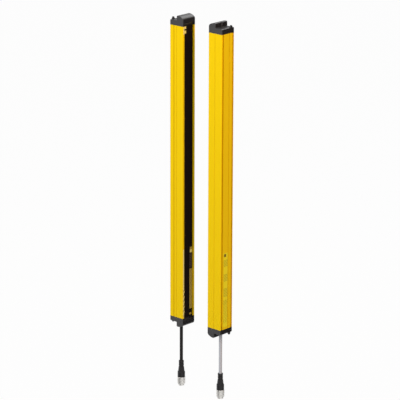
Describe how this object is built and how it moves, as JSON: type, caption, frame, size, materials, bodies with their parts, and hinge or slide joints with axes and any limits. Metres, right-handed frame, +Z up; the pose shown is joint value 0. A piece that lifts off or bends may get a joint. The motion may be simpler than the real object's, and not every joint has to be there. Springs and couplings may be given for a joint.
{
  "type": "safety light curtain",
  "caption": "Safety light curtain: a facing emitter and receiver bar in yellow aluminium profile, with dark windows, black end caps and short leads with round screw connectors.",
  "frame": {"origin": "on the emitter's rear mounting face, at the middle of its width and of the profile's length", "axes": "+Z up along the bars, +X from the receiver to the emitter and out of the emitter's rear face, +Y across the bars"},
  "size_m": [0.1372, 0.035, 0.771],
  "materials": {
    "yellow_paint": "satin powder coat",
    "dark_window": "polished, infrared clear",
    "cap_plastic": "fine moulded grain",
    "seal_rubber": "matt",
    "blackened_steel": "blackened",
    "clear_lens": "moulded acrylic",
    "carrier_plastic": "matt, so that no light strays",
    "lamp_plastic": "clear resin",
    "board_green": "solder mask",
    "diode_resin": "tinted resin",
    "chip_black": "moulded",
    "terminal_plastic": "moulded",
    "spring_steel": "tinned",
    "wire_plastic": "insulation",
    "black_jacket": "satin jacket",
    "grey_jacket": "satin jacket",
    "grip_plastic": "moulded grip",
    "nickel": "nickel plate",
    "gold_contact": "gold flash"
  },
  "bodies": {
    "root": {"emitter_bottom_cap": "cap_plastic", "emitter_bottom_cap_screws": "blackened_steel", "emitter_bottom_gasket": "seal_rubber", "emitter_cable": "grey_jacket", "emitter_cable_grommet": "seal_rubber", "emitter_circuit_board": "board_green", "emitter_connector_body": "grip_plastic", "emitter_contact_carrier": "grip_plastic", "emitter_contact_pins": "gold_contact", "emitter_control_board": "board_green", "emitter_earth_spring": "spring_steel", "emitter_front_window": "dark_window", "emitter_housing": "yellow_paint", "emitter_indicator_lamps": "lamp_plastic", "emitter_infrared_diodes": "diode_resin", "emitter_lead_wires": "wire_plastic", "emitter_lens_strip": "clear_lens", "emitter_light_guide": "clear_lens", "emitter_optics_carrier": "carrier_plastic", "emitter_port_plug": "cap_plastic", "emitter_seal_ring": "seal_rubber", "emitter_signal_chips": "chip_black", "emitter_terminal_block": "terminal_plastic", "emitter_top_cap": "cap_plastic", "emitter_top_cap_screws": "blackened_steel", "emitter_top_gasket": "seal_rubber", "emitter_window_seals": "seal_rubber", "receiver_bottom_cap": "cap_plastic", "receiver_bottom_cap_screws": "blackened_steel", "receiver_bottom_gasket": "seal_rubber", "receiver_cable": "black_jacket", "receiver_cable_grommet": "seal_rubber", "receiver_circuit_board": "board_green", "receiver_connector_body": "grip_plastic", "receiver_contact_carrier": "grip_plastic", "receiver_contact_pins": "gold_contact", "receiver_control_board": "board_green", "receiver_earth_spring": "spring_steel", "receiver_front_window": "dark_window", "receiver_housing": "yellow_paint", "receiver_indicator_lamps": "lamp_plastic", "receiver_lead_wires": "wire_plastic", "receiver_lens_strip": "clear_lens", "receiver_light_guide": "clear_lens", "receiver_optics_carrier": "carrier_plastic", "receiver_photodiodes": "diode_resin", "receiver_port_plug": "cap_plastic", "receiver_seal_ring": "seal_rubber", "receiver_signal_chips": "chip_black", "receiver_terminal_block": "terminal_plastic", "receiver_top_cap": "cap_plastic", "receiver_top_cap_screws": "blackened_steel", "receiver_top_gasket": "seal_rubber", "receiver_window_seals": "seal_rubber"},
    "receiver_nut": {"receiver_coupling_nut": "nickel"},
    "emitter_nut": {"emitter_coupling_nut": "nickel"}
  },
  "joints": [
    {"name": "receiver_nut_spin", "type": "hinge", "parent": "root", "child": "receiver_nut", "pos_m": [-0.1222, 0, -0.44], "axis": [0, 0, 1], "continuous": true},
    {"name": "emitter_nut_spin", "type": "hinge", "parent": "root", "child": "emitter_nut", "pos_m": [-0.015, 0, -0.44], "axis": [0, 0, 1], "continuous": true}
  ]
}
